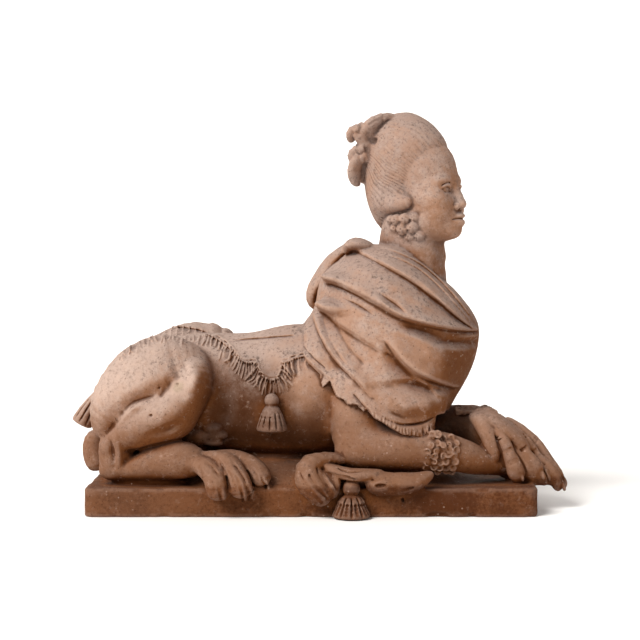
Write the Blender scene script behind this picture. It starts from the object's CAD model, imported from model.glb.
import math

import bmesh
import bpy
import numpy as np
import openvdb
from mathutils import Matrix, Vector


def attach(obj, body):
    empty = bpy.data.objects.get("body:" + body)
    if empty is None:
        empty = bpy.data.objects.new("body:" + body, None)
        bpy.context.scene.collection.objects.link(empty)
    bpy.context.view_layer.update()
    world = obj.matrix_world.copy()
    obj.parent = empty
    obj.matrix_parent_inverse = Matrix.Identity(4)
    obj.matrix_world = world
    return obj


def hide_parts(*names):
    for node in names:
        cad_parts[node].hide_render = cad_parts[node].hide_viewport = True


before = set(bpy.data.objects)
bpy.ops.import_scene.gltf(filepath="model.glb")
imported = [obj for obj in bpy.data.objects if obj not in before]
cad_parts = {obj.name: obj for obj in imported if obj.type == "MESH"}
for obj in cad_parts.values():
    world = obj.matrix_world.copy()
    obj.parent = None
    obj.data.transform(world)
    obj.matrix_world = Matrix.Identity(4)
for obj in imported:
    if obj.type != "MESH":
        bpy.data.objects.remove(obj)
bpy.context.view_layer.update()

# Camera: a long lens a little above the cape, square to the plinth's front, tipped down by
# about two degrees.
camera_data = bpy.data.cameras.new("camera")
camera_data.sensor_width = 36.0
camera_data.lens = 89.4
camera_data.clip_end = 50.0
camera = bpy.data.objects.new("camera", camera_data)
camera.location = (0.019, -3.590, 0.549)
camera.rotation_euler = (math.radians(90.0 - 2.09), 0.0, 0.0)
bpy.context.collection.objects.link(camera)
bpy.context.scene.camera = camera

# The statue: sphinx and plinth in one piece of fired clay. She was modelled by hand in lumps
# that were pressed and smeared into each other, then carved with wooden tools, hollowed and
# fired. The clay is kept here as a grid of distances to its surface, in millimetres.
MM = 0.001


def curve_rows(sections, at):
    """Rows of numbers read off a smooth curve through the sections, at shares from 0 to 1."""
    rows = np.array(sections, float)
    rows = np.vstack([2 * rows[0] - rows[1], rows, 2 * rows[-1] - rows[-2]])
    place = np.clip(np.asarray(at, float), 0, 1) * (len(sections) - 1 - 1e-6)
    i = place.astype(int)
    f = (place - i)[:, None]
    a, b, c, d = rows[i], rows[i + 1], rows[i + 2], rows[i + 3]
    return 0.5 * (2 * b + (c - a) * f + (2 * a - 5 * b + 4 * c - d) * f**2 + (3 * b - a - 3 * c + d) * f**3)


def fullness(t, blunt):
    """How full a form is along its length: 0 at both ends, 1 in the middle."""
    return np.clip(1 - np.abs(2 * t - 1) ** blunt, 0, 1) ** (1 / blunt)


class Clay:
    """A block of clay: distances to its surface on a grid, negative inside."""

    def __init__(self, low, high, step):
        self.step = step
        self.axes = [np.arange(a, b + step, step, dtype=np.float32) for a, b in zip(low, high)]
        self.field = np.full([axis.size for axis in self.axes], 50.0, np.float32)

    def window(self, low, high):
        at = []
        for axis, a, b in zip(self.axes, low, high):
            first = int(np.clip((a - axis[0]) / self.step, 0, axis.size - 1))
            last = int(np.clip((b - axis[0]) / self.step + 2, 1, axis.size))
            at.append(slice(first, max(last, first + 1)))
        x, y, z = [axis[s] for axis, s in zip(self.axes, at)]
        return tuple(at), x[:, None, None], y[None, :, None], z[None, None, :]

    def limb(self, sections, side=(0, 1, 0), blunt=2.6, pieces=12, reach=22):
        """A rounded form along a line of sections: x, y, z, half width across, half width deep."""
        t = 0.5 - 0.5 * np.cos(np.linspace(0, np.pi, pieces + 1))
        rows = curve_rows(sections, t)
        centre = rows[:, :3]
        width = np.maximum(rows[:, 3:5] * fullness(t, blunt)[:, None], 0.3)
        pad = width.max() + reach
        whole, x, y, z = self.window(centre.min(0) - pad, centre.max(0) + pad)
        distance = np.full((x.size, y.size, z.size), 50.0, np.float32)
        side = np.array(side, float)
        run = np.concatenate([[0], np.cumsum(np.linalg.norm(np.diff(centre, axis=0), axis=1))])
        for c0, c1, w0, w1, l0, l1 in zip(centre, centre[1:], width, width[1:], run, run[1:]):
            cap = max(min(0.6 * min(w0.min(), w1.min()), l0 + 1.5, run[-1] - l1 + 1.5), 0.5)
            length = np.linalg.norm(c1 - c0)
            if length < 1e-6:
                continue
            along = (c1 - c0) / length
            across = side - side.dot(along) * along
            across /= np.linalg.norm(across)
            deep = np.cross(along, across)
            pad = max(w0.max(), w1.max()) + reach
            at, x, y, z = self.window(np.minimum(c0, c1) - pad, np.maximum(c0, c1) + pad)
            x, y, z = x - np.float32(c0[0]), y - np.float32(c0[1]), z - np.float32(c0[2])
            s, u, v = [x * np.float32(d[0]) + y * np.float32(d[1]) + z * np.float32(d[2])
                       for d in (along, across, deep)]
            share = np.clip(s / np.float32(length), 0, 1)
            a = np.float32(w0[0]) + share * np.float32(w1[0] - w0[0])
            b = np.float32(w0[1]) + share * np.float32(w1[1] - w0[1])
            e = s - share * np.float32(length)
            off = u * u + v * v + e * e
            scaled = (u / a) ** 2 + (v / b) ** 2 + (e / np.float32(cap)) ** 2
            d = np.sqrt(off) * (1 - 1 / np.sqrt(scaled + 1e-6))
            local = tuple(slice(s.start - w.start, s.stop - w.start) for s, w in zip(at, whole))
            np.minimum(distance[local], d, out=distance[local])
        return whole, distance

    def stack(self, sections, along=2, blunt=4.0, reach=24):
        """A form of level sections along x (0) or z (2). Cheaper than a limb for a large lump."""
        t = 0.5 - 0.5 * np.cos(np.linspace(0, np.pi, 90))
        rows = curve_rows(sections, t)
        width = np.maximum(rows[:, 3:5] * fullness(t, blunt)[:, None], 0.3)
        pad = np.array([width.max() + reach] * 3)
        pad[along] = reach
        at, x, y, z = self.window(rows[:, :3].min(0) - pad, rows[:, :3].max(0) + pad)
        flat = z.ravel() if along == 2 else x.ravel()
        shape = (1, 1, -1) if along == 2 else (-1, 1, 1)
        read = [np.interp(flat, rows[:, along], column).astype(np.float32).reshape(shape)
                for column in (rows[:, 0], rows[:, 1], rows[:, 2], width[:, 0], width[:, 1])]
        cx, cy, cz, a, b = read
        u = y - cy
        v = (x - cx) if along == 2 else (z - cz)
        over = np.maximum(flat - rows[-1, along], 0) + np.maximum(rows[0, along] - flat, 0)
        over = over.astype(np.float32).reshape(shape)
        off = np.sqrt(u * u + v * v + over * over)
        return at, off * (1 - 1 / np.sqrt((u / a) ** 2 + (v / b) ** 2 + over * over + 1e-6))

    def ball(self, centre, radii, reach=22):
        """An egg of clay with these half widths."""
        centre, radii = np.array(centre, float), np.array(radii, float)
        at, x, y, z = self.window(centre - radii - reach, centre + radii + reach)
        x, y, z = x - np.float32(centre[0]), y - np.float32(centre[1]), z - np.float32(centre[2])
        off = np.sqrt(x * x + y * y + z * z)
        scaled = np.sqrt((x / radii[0]) ** 2 + (y / radii[1]) ** 2 + (z / radii[2]) ** 2 + 1e-6)
        return at, (off * (1 - 1 / scaled)).astype(np.float32)

    def ring(self, centre, radius, thick, normal=(0, 1, 0), reach=10):
        """A little rolled hoop."""
        centre = np.array(centre, float)
        normal = np.array(normal, float) / np.linalg.norm(normal)
        at, x, y, z = self.window(centre - radius - thick - reach, centre + radius + thick + reach)
        x, y, z = x - centre[0], y - centre[1], z - centre[2]
        up = x * normal[0] + y * normal[1] + z * normal[2]
        flat = np.sqrt(np.maximum(x * x + y * y + z * z - up * up, 0)) - radius
        return at, (np.sqrt(flat * flat + up * up) - thick).astype(np.float32)

    def add(self, form, soft):
        """Presses a form on. It is smeared in over this many millimetres."""
        at, distance = form
        near = self.field[at]
        press = np.maximum(soft - np.abs(near - distance), 0) / soft
        self.field[at] = np.minimum(near, distance) - press * press * soft * 0.25

    def cut(self, form, soft):
        at, distance = form
        near = self.field[at]
        press = np.maximum(soft - np.abs(near + distance), 0) / soft
        self.field[at] = np.maximum(near, -distance) + press * press * soft * 0.25

    def heap(self, sections, soft, **form):
        self.add(self.stack(sections, **form), soft)

    def lay(self, line, soft, **form):
        self.add(self.limb(line, **form), soft)

    def carve(self, line, soft, **form):
        self.cut(self.limb(line, **form), soft)

    def lump(self, centre, radii, soft, **form):
        self.add(self.ball(centre, radii, **form), soft)

    def pit(self, centre, radii, soft, **form):
        self.cut(self.ball(centre, radii, **form), soft)

    def raise_by(self, relief, facing):
        """Moves the surface out by a map of heights in side view, on the side that faces -Y or +Y."""
        y = self.axes[1]
        share = np.clip((-facing * y + 4) / 32, 0, 1).astype(np.float32)
        share = share * share * (3 - 2 * share)
        steep = np.clip(np.abs(np.gradient(self.field, self.step, axis=1)) / 0.3 - 0.3, 0, 1)
        self.field -= relief[:, None, :] * share[None, :, None] * steep

    def merge(self, other, soft):
        first = [int(round((o[0] - s[0]) / self.step)) for o, s in zip(other.axes, self.axes)]
        at = tuple(slice(f, f + axis.size) for f, axis in zip(first, other.axes))
        self.add((at, other.field), soft)


class Relief:
    """Heights in millimetres over the side view of a block of clay."""

    def __init__(self, clay):
        self.x, self.z = clay.axes[0], clay.axes[2]
        self.height = np.zeros((self.x.size, self.z.size), np.float32)

    def stroke(self, points, detail=8):
        """One press of a tool: x, z, half width, height. A height below 0 is a groove."""
        rows = curve_rows(points, np.linspace(0, 1, (len(points) - 1) * detail + 1))
        mark = np.zeros_like(self.height)
        for (x0, z0, w0, h0), (x1, z1, w1, h1) in zip(rows, rows[1:]):
            w = max(w0, w1)
            i = slice(*np.searchsorted(self.x, (min(x0, x1) - w, max(x0, x1) + w)))
            k = slice(*np.searchsorted(self.z, (min(z0, z1) - w, max(z0, z1) + w)))
            x, z = self.x[i, None], self.z[None, k]
            length = max((x1 - x0) ** 2 + (z1 - z0) ** 2, 1e-6)
            t = np.clip(((x - x0) * (x1 - x0) + (z - z0) * (z1 - z0)) / length, 0, 1)
            away = (x - x0 - t * (x1 - x0)) ** 2 + (z - z0 - t * (z1 - z0)) ** 2
            profile = np.clip(1 - away / (w0 + t * (w1 - w0)) ** 2, 0, 1) ** 2 * (h0 + t * (h1 - h0))
            part = mark[i, k]
            mark[i, k] = np.where(np.abs(profile) > np.abs(part), profile, part)
        self.height += mark

    def strokes(self, *lines, detail=8):
        for line in lines:
            self.stroke(line, detail)

    def fold(self, points, detail=8):
        """A fold's ridge: x, z, width, height. Its left slopes gently, its right drops steeply."""
        rows = curve_rows(points, np.linspace(0, 1, (len(points) - 1) * detail + 1))
        nearest = np.full(self.height.shape, 1e9, np.float32)
        mark = np.zeros_like(self.height)
        run = np.linspace(0, 1, len(rows))
        for (x0, z0, w0, h0), (x1, z1, w1, h1), r in zip(rows, rows[1:], run):
            w = 1.6 * max(w0, w1)
            i = slice(*np.searchsorted(self.x, (min(x0, x1) - w, max(x0, x1) + w)))
            k = slice(*np.searchsorted(self.z, (min(z0, z1) - w, max(z0, z1) + w)))
            x, z = self.x[i, None], self.z[None, k]
            length = max((x1 - x0) ** 2 + (z1 - z0) ** 2, 1e-6)
            t = np.clip(((x - x0) * (x1 - x0) + (z - z0) * (z1 - z0)) / length, 0, 1)
            away = np.sqrt((x - x0 - t * (x1 - x0)) ** 2 + (z - z0 - t * (z1 - z0)) ** 2)
            left = ((x1 - x0) * (z - z0) - (z1 - z0) * (x - x0)) > 0
            u = away / (w0 + t * (w1 - w0))
            gentle = np.clip(1 - u, 0, 1) ** 2 * (1 + 2 * u)
            steep = np.where(
                u < 0.4, 0.15 + 0.85 * np.cos(np.clip(u / 0.4, 0, 1) * np.pi),
                -0.7 * np.clip(1 - (u - 0.4) / 0.9, 0, 1) ** 2 * (1 + 2 * np.clip((u - 0.4) / 0.9, 0, 1))
            )
            value = np.where(left, gentle, steep) * (h0 + t * (h1 - h0))
            near = nearest[i, k]
            closer = away < near
            mark[i, k] = np.where(closer, value, mark[i, k])
            nearest[i, k] = np.where(closer, away, near)
        self.height += mark

    def layer(self, corners, height, edge=1.5):
        """A flat layer of cloth with this outline."""
        outline = np.array(corners, float)
        x, z = self.x[:, None], self.z[None, :]
        inside = np.zeros(self.height.shape, bool)
        nearest = np.full(self.height.shape, 1e9)
        for (x0, z0), (x1, z1) in zip(outline, np.roll(outline, -1, axis=0)):
            t = np.clip(
                ((x - x0) * (x1 - x0) + (z - z0) * (z1 - z0)) / ((x1 - x0) ** 2 + (z1 - z0) ** 2), 0, 1
            )
            nearest = np.minimum(nearest, (x - x0 - t * (x1 - x0)) ** 2 + (z - z0 - t * (z1 - z0)) ** 2)
            if z0 != z1:
                inside ^= ((z0 > z) != (z1 > z)) & (x < (x1 - x0) * (z - z0) / (z1 - z0) + x0)
        signed = np.where(inside, 1, -1) * np.sqrt(nearest)
        self.height += (height * np.clip(0.5 + signed / (2 * edge), 0, 1)).astype(np.float32)


STEP = 2.0
LOW, HIGH = (-564.0, -264.0, -12.0), (588.0, 208.0, 640.0)
BACK = (LOW, (200.0, 208.0, 472.0))
FRONT = ((-68.0, -264.0, 120.0), (588.0, 208.0, 640.0))

# the lion's trunk and thighs
lion = Clay(*BACK, STEP)
lion.heap([
    (-482, 4, 212, 72, 70), (-385, 3, 246, 112, 116), (-260, 0, 256, 112, 131), (-150, 0, 250, 112, 138),
    (-50, 0, 256, 122, 152), (60, 0, 262, 132, 158), (185, 0, 262, 126, 150)
], 1, along=0, blunt=3.4)
lion.lay([
    (-224, -94, 322, 42, 38), (-284, -98, 308, 68, 84), (-356, -96, 284, 80, 92), (-426, -92, 228, 76, 70),
    (-458, -90, 160, 54, 40)
], 14, blunt=3, pieces=26)
lion.lay([
    (-166, 84, 356, 38, 34), (-235, 92, 338, 64, 80), (-335, 92, 292, 78, 92), (-428, 88, 228, 74, 70),
    (-462, 86, 162, 54, 42)
], 30, blunt=3, pieces=14)
# the near shank and knee, pressed on to the thigh with a clear crease behind it
lion.lay([
    (-252, -122, 338, 44, 34), (-258, -130, 288, 52, 46), (-296, -136, 234, 54, 54),
    (-352, -134, 194, 48, 48), (-412, -126, 168, 38, 36), (-456, -118, 152, 30, 28)
], 9, blunt=3.2, pieces=30)
lion.lay([
    (-280, -116, 244, 44, 40), (-300, -122, 206, 46, 44), (-350, -122, 182, 44, 32),
    (-404, -118, 164, 34, 22)
], 16, blunt=3.4, pieces=20)
lion.lay([
    (-410, -120, 172, 34, 30), (-420, -118, 140, 36, 30), (-426, -116, 110, 36, 32),
    (-430, -114, 84, 30, 28)
], 14, blunt=3.4)
lion.lay([(-470, 0, 110, 90, 60), (-360, 0, 120, 96, 70), (-230, 0, 120, 90, 60)], 10, blunt=4)
lion.lay([
    (-196, 106, 345, 40, 38), (-218, 122, 270, 50, 54), (-300, 130, 206, 50, 52), (-400, 124, 168, 42, 38),
    (-488, 114, 136, 34, 32)
], 16, blunt=3, pieces=14)
for hand, x, z in ((-1, -436, 128), (1, -506, 116)):
    lion.lay([
        (x + 6, 116 * hand, z + 38, 28, 22), (x - 2, 116 * hand, z + 8, 34, 29),
        (x + 4, 116 * hand, z - 26, 36, 30), (x + 10, 116 * hand, z - 52, 34, 26)
    ], 12, blunt=3.4)

near = Relief(lion)
# muscle and tendon
near.fold([
    (-330, 262, 14, 0), (-346, 252, 24, 4), (-384, 239, 30, 6), (-411, 213, 30, 6), (-430, 186, 24, 4),
    (-446, 170, 14, 1)
])
near.strokes(
    [
        (-338, 258, 5, -1), (-362, 251, 8, -6), (-388, 240, 9, -8), (-412, 215, 9, -7), (-431, 189, 8, -5),
        (-448, 168, 6, -1)
    ],
    [(-290, 240, 50, 1), (-346, 212, 56, 9), (-388, 190, 46, 8), (-424, 168, 26, 2)],
    [(-318, 296, 20, 1), (-352, 288, 30, 3), (-396, 258, 24, 3), (-430, 214, 14, 1)],
    [(-402, 138, 8, -3), (-374, 138, 10, -8), (-354, 146, 10, -8), (-314, 156, 9, -5), (-276, 162, 7, -1)],
    [(-262, 330, 16, 2), (-250, 300, 20, 7), (-258, 262, 22, 4)],
    [(-300, 352, 14, -1), (-292, 322, 20, -2.5), (-300, 290, 18, -2), (-322, 262, 8, -3)],
    [(-426, 172, 10, 2), (-416, 136, 11, 4), (-416, 98, 10, 3)],
    [(-436, 160, 7, -1), (-430, 132, 9, -4), (-431, 104, 8, -2)],
    [(-451, 150, 20, 7), (-448, 146, 20, 7)],
    [(-470, 120, 8, -2), (-462, 98, 8, -2)],
    [(-350, 178, 10, -2), (-310, 190, 16, -7), (-280, 206, 12, -3)],
    [(-396, 122, 7, 1), (-344, 132, 8, 4), (-290, 146, 9, 3)],
    [(-388, 112, 7, -1), (-350, 116, 8, -4), (-316, 122, 7, -1)]
)
# knocks and air holes in the fired clay
for x, z, r, h in (
    (-344, 220, 5, -4), (-328, 278, 3.5, -3), (-288, 286, 4, -3), (-270, 300, 3, -2), (-286, 336, 3, -2),
    (-300, 175, 3, -2), (-371, 320, 16, -1.2), (-285, 291, 16, -1.0)
):
    near.stroke([(x, z, r, h), (x + 1, z, r, h)], detail=1)

# ribs and the soft flank behind the elbow
near.strokes(
    [(-24, 300, 34, 1), (-10, 250, 44, 5), (0, 190, 40, 4), (4, 140, 30, 1)],
    [(36, 262, 14, -1), (46, 220, 14, -5), (50, 160, 12, -3)],
    [(-200, 340, 26, -2), (-188, 290, 34, -8), (-194, 226, 34, -9), (-214, 160, 24, -3)]
)

# the saddlecloth with its worked edge and fringe
CLOTH = [
    (-300, 480), (-416, 430), (-424, 356), (-398, 372), (-366, 388), (-332, 398), (-298, 400), (-262, 395),
    (-226, 384), (-194, 368), (-172, 350), (-157, 333), (-140, 326), (-122, 327), (-116, 309), (-103, 295),
    (-86, 289), (-71, 295), (-64, 310), (-63, 327), (-50, 330), (-36, 337), (30, 352), (40, 480)
]
near.layer(CLOTH, 6)
edge = CLOTH[2:23]
near.stroke([(x, z + 9.5, 2.4, 2.2) for x, z in edge], detail=6)
near.stroke([(x, z + 5, 2.2, -3) for x, z in edge], detail=6)
near.strokes(
    [(-190, 376, 3, 0.5), (-140, 381, 3, 2.6), (-60, 388, 3, 2.6), (-40, 390, 3, 2)],
    [(-190, 371, 3, -0.5), (-140, 376, 3, -2.4), (-60, 383, 3, -2.4), (-40, 385, 3, -2)]
)
fringe = curve_rows(edge, np.linspace(0, 1, 72))
slope = np.gradient(fringe, axis=0)
turns = np.random.default_rng(4)
for i, ((x, z), (dx, dz)) in enumerate(zip(fringe, slope)):
    along = np.array((dx, dz)) / max(math.hypot(dx, dz), 1e-6)
    out = np.array((along[1], -along[0]))
    out = out + (0, -0.8)
    out /= np.linalg.norm(out)
    drop = (20 if x < -200 else 30) + 4 * turns.normal()
    h = 4.6 + 0.7 * turns.normal()
    bend = 3 * turns.normal()
    middle = np.array((x, z)) + out * drop / 2 + along * bend
    tip = np.array((x, z)) + out * drop
    near.stroke([(x, z + 2, 2.2, h), (*middle, 3.3, h), (*tip, 2.6, h * 0.7)], detail=3)
    if i % 2 == 0:
        ring = [(x + 5.5 * math.cos(t), z - 1 + 6.5 * math.sin(t), 2, 3.2) for t in np.linspace(-0.6, 3.7, 7)]
        near.stroke(ring, detail=2)
lion.raise_by(near.height, 1)

# the far side, plainer: the thigh's creases, and the cloth with its border and fringe
far = Relief(lion)
far.layer(CLOTH, 5)
far.strokes(
    [(-318, 272, 8, -4), (-370, 246, 14, -12), (-430, 200, 14, -6)],
    [(-404, 140, 8, -6), (-350, 149, 12, -12), (-290, 172, 10, -4)]
)
far.stroke([(x, z + 6, 3, 2) for x, z in edge], detail=6)
for x, z in curve_rows(edge, np.linspace(0, 1, 50)):
    far.stroke([(x, z + 2, 2.8, 3.4), (x, z - 22, 2.6, 2)], detail=1)
lion.raise_by(far.height, -1)

# the cape over the bust: a full lump, with folds that gather on the breast
cape = Clay(*FRONT, STEP)
cape.heap([
    (205, 0, 168, 118, 98), (192, -2, 236, 146, 134), (190, -2, 320, 156, 176), (190, -2, 400, 160, 187),
    (178, -2, 460, 156, 168), (158, -2, 515, 140, 136), (162, -2, 556, 106, 100), (172, -2, 590, 72, 82)
], 1, blunt=5.0)
# over the back, the shoulder, the elbow
cape.lay([
    (-30, 0, 330, 118, 84), (40, 0, 330, 134, 110), (120, 0, 320, 142, 120)
], 30, blunt=3.6, pieces=10)
cape.lay([
    (60, -128, 292, 30, 34), (112, -132, 276, 38, 50), (170, -130, 250, 44, 62), (228, -120, 236, 46, 64),
    (286, -92, 240, 40, 40)
], 40, blunt=3.4)
cape.lay([
    (60, 128, 292, 30, 34), (130, 130, 262, 40, 54), (220, 112, 236, 44, 60), (286, 84, 240, 38, 40)
], 40, blunt=3.4)
# the far shoulder's wide turned edge, and the near side's three folds that end in steps
cape.lay([
    (98, 24, 592, 20, 8), (76, 44, 576, 34, 15), (46, 56, 546, 42, 18), (20, 62, 510, 46, 18),
    (5, 62, 480, 42, 17), (4, 58, 458, 34, 15), (18, 48, 438, 22, 10)
], 8, blunt=3, pieces=16)
cape.lay([(76, -20, 576, 30, 12), (98, -34, 590, 36, 13), (136, -44, 584, 30, 10)], 16, blunt=3)
cape.lay([(30, -60, 516, 40, 10), (60, -70, 510, 46, 16), (110, -80, 500, 40, 14)], 12, blunt=4)
cape.lay([(14, -70, 456, 44, 10), (50, -80, 448, 50, 18), (110, -90, 436, 40, 14)], 12, blunt=4)
# the hem's roll over the near arm, and the fullness behind it
cape.lay([
    (36, -128, 296, 9, 22), (64, -150, 256, 12, 24), (104, -166, 232, 14, 26), (150, -172, 208, 15, 26),
    (192, -168, 184, 16, 24), (236, -148, 180, 16, 22), (268, -128, 190, 14, 22)
], 14, blunt=8, pieces=18)
cape.lump((214, -120, 232), (66, 44, 48), 24)

folds = Relief(cape)
# the rim of the neckline, turned over twice
folds.strokes(
    [
        (126, 588, 3.4, 2), (175, 578, 4, 5.5), (236, 550, 4, 6), (282, 514, 4, 6), (321, 472, 4, 6),
        (350, 434, 3, 3)
    ],
    [
        (132, 576, 3.4, 2), (175, 566, 4, 5.5), (233, 538, 4, 6), (277, 502, 4, 6), (316, 460, 4, 6),
        (350, 419, 3, 3)
    ]
)
# the folds that sweep from the shoulder down to the breast
folds.fold([
    (60, 590, 20, 2), (110, 574, 26, 7), (175, 540, 30, 10), (230, 506, 28, 12), (286, 462, 24, 13),
    (330, 424, 16, 9), (360, 402, 8, 3)
])
folds.fold([
    (12, 522, 20, 4), (84, 496, 34, 9), (146, 464, 36, 12), (196, 436, 34, 15), (256, 417, 28, 18),
    (312, 405, 20, 14), (366, 398, 10, 5)
])
folds.strokes(
    [(138, 488, 6, -1), (160, 470, 9, -7), (182, 454, 10, -10), (206, 436, 5, -2)],
    [(190, 412, 12, -1), (236, 396, 16, -10), (290, 378, 20, -15), (346, 373, 18, -9), (400, 374, 10, -1)]
)
folds.fold([
    (160, 384, 14, 1), (178, 366, 30, 8), (202, 338, 42, 16), (232, 314, 42, 18), (266, 297, 34, 16),
    (300, 282, 22, 8), (336, 270, 10, 0)
])
folds.strokes(
    [(246, 352, 34, 3), (282, 330, 34, 10), (300, 304, 26, 8)],
    [(192, 330, 6, 1), (226, 300, 8, 5), (258, 284, 8, 5), (300, 268, 6, 1)],
    [(128, 276, 16, -3), (170, 280, 18, -8), (214, 280, 18, -12), (250, 268, 14, -10), (276, 252, 9, -3)],
    [(150, 246, 20, 2), (200, 240, 26, 9), (250, 238, 22, 7)]
)
folds.fold([(20, 452, 18, 3), (60, 420, 30, 6), (110, 388, 34, 6), (160, 356, 24, 2)])
folds.fold([(0, 446, 10, 2), (22, 392, 20, 6), (56, 340, 26, 8), (100, 296, 24, 6), (130, 262, 14, 1)])
folds.strokes(
    [(22, 424, 6, -1), (38, 380, 9, -4), (62, 340, 9, -5), (86, 314, 6, -1)],
    [(52, 408, 6, -1), (78, 366, 9, -3), (112, 328, 6, -1)],
    [(70, 470, 5, -1), (104, 452, 6, -5), (140, 430, 5, -1)],
    [(40, 500, 4, -1), (74, 486, 5, -4), (112, 468, 4, -1)],
    [(210, 520, 4, -1), (248, 492, 5, -4), (290, 452, 4, -2)]
)
# the hem along the back, turned up, and the frayed one over the arm
folds.strokes(
    [(-48, 412, 5, 4), (-33, 370, 5, 5), (-6, 336, 5, 5), (22, 312, 5, 5), (44, 298, 5, 3)],
    [(-40, 416, 3, -2), (-24, 374, 3, -4), (2, 342, 3, -4), (30, 318, 3, -3)]
)
fray = np.random.default_rng(21)
arm_hem = [(60, 246), (110, 226), (152, 204), (194, 184), (236, 176), (272, 190)]
for x, z in curve_rows(arm_hem, np.linspace(0, 1, 34)):
    folds.stroke([
        (x, z + 16, 3, 1), (x + fray.normal() * 3, z + 4, 3.4, 4 + fray.normal()),
        (x + fray.normal() * 4, z - 8, 2.6, 3)
    ], detail=3)
folds.strokes(
    [(92, 262, 4, -3), (114, 236, 6, -10), (128, 226, 4, -4)],
    [(160, 212, 4, -2), (196, 198, 5, -6), (236, 200, 5, -6), (266, 212, 4, -2)]
)
cape.raise_by(folds.height, 1)
# the folds on the far side
back_folds = Relief(cape)
back_folds.strokes(
    [(90, 586, 14, 4), (160, 566, 18, 9), (250, 520, 18, 11), (346, 424, 12, 7)],
    [(24, 500, 18, 5), (110, 486, 22, 10), (220, 430, 22, 12), (340, 392, 14, 7)],
    [(20, 440, 20, 6), (90, 400, 24, 11), (180, 340, 24, 12), (290, 280, 18, 6)],
    [(40, 470, 12, -6), (130, 440, 14, -10), (240, 380, 14, -10), (330, 340, 10, -5)],
    [(30, 400, 12, -5), (100, 350, 14, -9), (200, 280, 14, -9), (270, 240, 10, -4)]
)
cape.raise_by(back_folds.height, -1)
# the cape ends in a turned hem that hangs off the back in a slanting line
hem_line = [
    (-46, 470), (-54, 410), (-38, 364), (-12, 330), (16, 304), (22, 270), (40, 288), (54, 256), (70, 250),
    (78, 240), (100, 240), (112, 226), (120, 230), (136, 212), (152, 204), (172, 190), (196, 176),
    (236, 170), (270, 182), (274, 214), (330, 216), (600, 240), (600, 700), (-46, 700)
]
cut_edge = Relief(cape)
cut_edge.layer(hem_line, 80, edge=2.5)
cape.field += (80 - cut_edge.height)[:, None, :] * 0.5

# the plinth: a slab with rounded corners and softened edges, chipped all round
PLINTH_HALF, CORNER, SOFT_EDGE = (490, 190, 31), 22.0, 5
statue = Clay(LOW, HIGH, STEP)
at, x, y, z = statue.window(LOW, HIGH)
out_x, out_y = np.abs(x) - (PLINTH_HALF[0] - CORNER), np.abs(y) - (PLINTH_HALF[1] - CORNER)
out_z = np.abs(z - PLINTH_HALF[2]) - (PLINTH_HALF[2] - SOFT_EDGE)
plan = np.sqrt(np.maximum(out_x, 0) ** 2 + np.maximum(out_y, 0) ** 2) - CORNER
plan = plan + np.minimum(np.maximum(out_x, out_y), 0) + SOFT_EDGE
past = np.sqrt(np.maximum(plan, 0) ** 2 + np.maximum(out_z, 0) ** 2)
statue.field = (past + np.minimum(np.maximum(plan, out_z), 0) - SOFT_EDGE).astype(np.float32)
chips = np.random.default_rng(9)
for i in range(64):
    along = chips.uniform(-480, 480)
    edge_z = 63 if i % 4 == 0 else 1
    at = (along, -191 if i % 3 else 191, edge_z)
    if i % 5 == 0:
        at = (490 if i % 2 else -490, along * 0.38, edge_z)
    r = 3 + 9 * chips.uniform(0, 1) ** 2
    statue.pit(at, (r * chips.uniform(1, 2.4), r * 0.7, r * 0.8), 4, reach=12)
# the mound of clay under the belly
statue.heap([
    (-318, 0, 50, 150, 36), (-200, 0, 56, 176, 62), (-60, 0, 56, 180, 64), (70, 0, 56, 172, 62),
    (200, 0, 56, 140, 54), (340, 0, 52, 90, 40)
], 24, along=0, blunt=3.0)
statue.merge(lion, 10)

# the hind feet: sole, heel and instep, then the near one's toes, which hang over the edge
for hand, x0 in ((-1, 0), (1, -8)):
    statue.lay([
        (-440 + x0, 96 * hand, 66, 40, 12), (-360 + x0, 98 * hand, 68, 44, 14),
        (-262 + x0, 102 * hand, 66, 46, 12)
    ], 6)
    statue.lay([
        (-462 + x0, 114 * hand, 92, 34, 22), (-400 + x0, 120 * hand, 94, 38, 24),
        (-338 + x0, 126 * hand, 110, 44, 40), (-280 + x0, 136 * hand, 117, 50, 43),
        (-226 + x0, 144 * hand, 108, 50, 36)
    ], 12, blunt=3, pieces=22)
near_toes = [
    [
        (-262, -152, 116, 24, 22), (-228, -186, 108, 25, 22), (-207, -206, 86, 23, 21),
        (-198, -210, 58, 25, 26), (-196, -206, 44, 19, 14)
    ],
    [
        (-236, -144, 130, 22, 18), (-186, -182, 122, 24, 20), (-159, -206, 97, 23, 21),
        (-149, -212, 64, 26, 26), (-147, -208, 48, 19, 14)
    ],
    [
        (-216, -126, 130, 20, 16), (-160, -158, 124, 22, 18), (-124, -178, 107, 21, 19),
        (-105, -186, 84, 22, 21), (-101, -184, 74, 15, 12)
    ],
    [
        (-200, -106, 124, 16, 14), (-148, -130, 119, 16, 14), (-114, -146, 106, 14, 13),
        (-102, -152, 92, 12, 11)
    ]
]
for toe in near_toes:
    statue.lay(toe, 8, side=(1, 1, 0), blunt=3, pieces=18)
for groove in (
    [(-236, -190, 112, 3, 3), (-214, -214, 92, 4, 5), (-190, -222, 66, 4, 6)],
    [(-196, -180, 116, 3, 3), (-178, -206, 96, 4, 5), (-172, -222, 66, 4, 6)],
    [(-168, -166, 118, 3, 3), (-136, -186, 98, 4, 5), (-126, -200, 76, 3, 4)]
):
    statue.carve(groove, 6, blunt=2.4, pieces=8, reach=10)
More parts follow.
